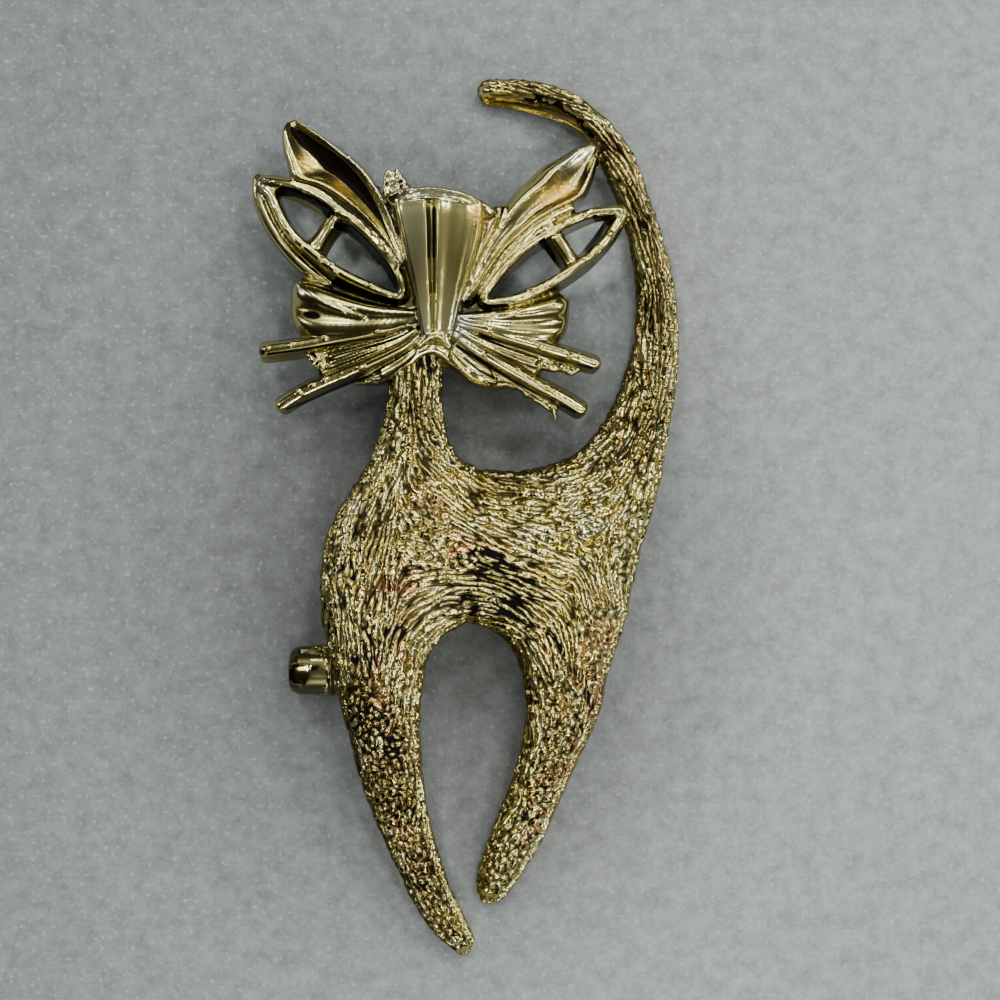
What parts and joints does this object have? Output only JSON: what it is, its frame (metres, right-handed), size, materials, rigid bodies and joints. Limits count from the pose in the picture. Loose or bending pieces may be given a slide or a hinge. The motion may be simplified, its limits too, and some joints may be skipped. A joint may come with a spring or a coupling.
{
  "type": "figural animal brooch",
  "caption": "Gold-tone cast cat brooch with a long curled tail, textured body, polished fluted head with pierced eyes, catch and pin on the back.",
  "frame": {"origin": "on the surface that the brooch lies on, under the middle of its box", "axes": "+Z away from the surface, towards the viewer of the front; +Y towards the top of the tail; +X towards the tail side"},
  "size_m": [0.0306, 0.0636, 0.0084],
  "materials": {
    "gold_casting": "gold plated, textured body and polished head, tarnished in the grooves",
    "pin_wire": "smooth gold plated wire"
  },
  "bodies": {
    "root": {"cat_casting": "gold_casting", "pin_stem": "pin_wire"}
  },
  "joints": []
}
